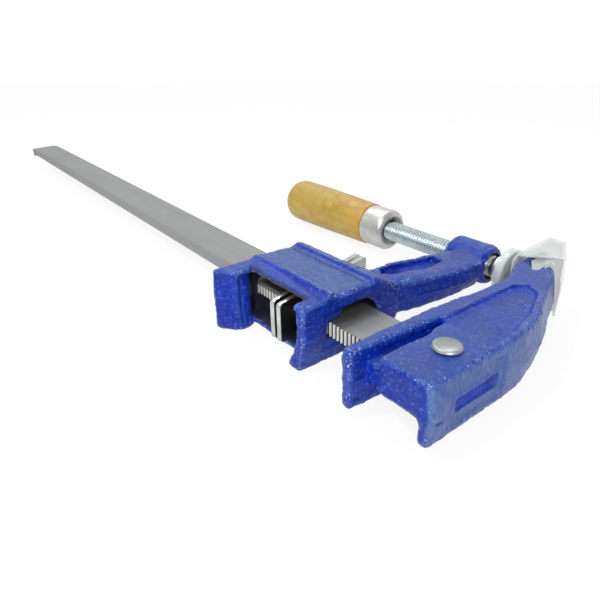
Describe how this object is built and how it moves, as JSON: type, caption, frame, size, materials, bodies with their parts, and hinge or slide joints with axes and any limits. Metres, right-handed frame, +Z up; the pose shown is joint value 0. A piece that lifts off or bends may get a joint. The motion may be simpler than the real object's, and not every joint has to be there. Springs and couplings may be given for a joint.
{
  "type": "f-clamp",
  "caption": "Bar clamp with a fixed cast jaw, a sliding cast jaw held by canted clutch plates, a screw with a wooden handle and a swivel pad.",
  "frame": {"origin": "middle of the sliding head's flat underside, below the bar's centreline", "axes": "+X along the bar towards the fixed jaw, +Y along the jaw arms towards the screw, +Z up from the surface that the clamp lies on"},
  "size_m": [0.4195, 0.1185, 0.025],
  "materials": {
    "bar_steel": "satin steel bar with rolled lengthwise streaks",
    "blue_enamel": "glossy blue enamel on rough cast iron",
    "rivet_steel": "bright steel",
    "soft_plastic": "translucent milky soft plastic",
    "clutch_steel": "zinc plated pressed steel",
    "spring_steel": "spring wire",
    "screw_steel": "bright zinc plated thread",
    "ferrule_steel": "satin pressed steel",
    "pad_steel": "zinc plated steel",
    "pale_wood": "turned pale hardwood under clear lacquer"
  },
  "bodies": {
    "frame": {"bar": "bar_steel", "fixed_jaw": "blue_enamel", "bar_rivet": "rivet_steel", "fixed_jaw_cap": "soft_plastic"},
    "thrust_ball": {"thrust_ball": "rivet_steel"},
    "sliding_jaw": {"sliding_jaw": "blue_enamel", "clutch_spring": "spring_steel"},
    "screw": {"screw": "screw_steel", "handle_ferrule": "ferrule_steel", "handle_grip": "pale_wood"},
    "swivel_pad": {"swivel_pad": "pad_steel", "pad_cap": "soft_plastic"},
    "clutch_plate_1": {"clutch_plate_1": "clutch_steel"},
    "clutch_plate_2": {"clutch_plate_2": "clutch_steel"}
  },
  "joints": [
    {"name": "jaw_slide", "type": "slide", "parent": "frame", "child": "thrust_ball", "axis": [-1, 0, 0], "range_m": [0, 0.284]},
    {"name": "screw_turn", "type": "hinge", "parent": "thrust_ball", "child": "screw", "pos_m": [0.0293, 0.073, 0.012], "axis": [1, 0, 0], "range_deg": [0, 8280]},
    {"name": "screw_feed", "type": "slide", "parent": "thrust_ball", "child": "sliding_jaw", "axis": [-1, 0, 0], "range_m": [0, 0.0346]},
    {"name": "pad_tilt", "type": "hinge", "parent": "thrust_ball", "child": "swivel_pad", "pos_m": [0.0293, 0.073, 0.012], "axis": [0, 0, 1], "range_deg": [-8, 8]},
    {"name": "clutch_release", "type": "hinge", "parent": "sliding_jaw", "child": "clutch_plate_1", "pos_m": [0.0006, 0, 0.012], "axis": [0, 0, -1], "range_deg": [0, 14], "stiffness_Nm_per_rad": 0.3, "springref_deg": -9.74, "deforming": ["clutch_spring"]},
    {"name": "clutch_release_2", "type": "hinge", "parent": "sliding_jaw", "child": "clutch_plate_2", "pos_m": [0.004, 0, 0.012], "axis": [0, 0, -1], "range_deg": [0, 14]}
  ],
  "couplings": [
    {"joint": "screw_feed", "follows": "screw_turn", "m_per_rad": 0.00023873},
    {"joint": "clutch_release_2", "follows": "clutch_release", "ratio": 1}
  ]
}
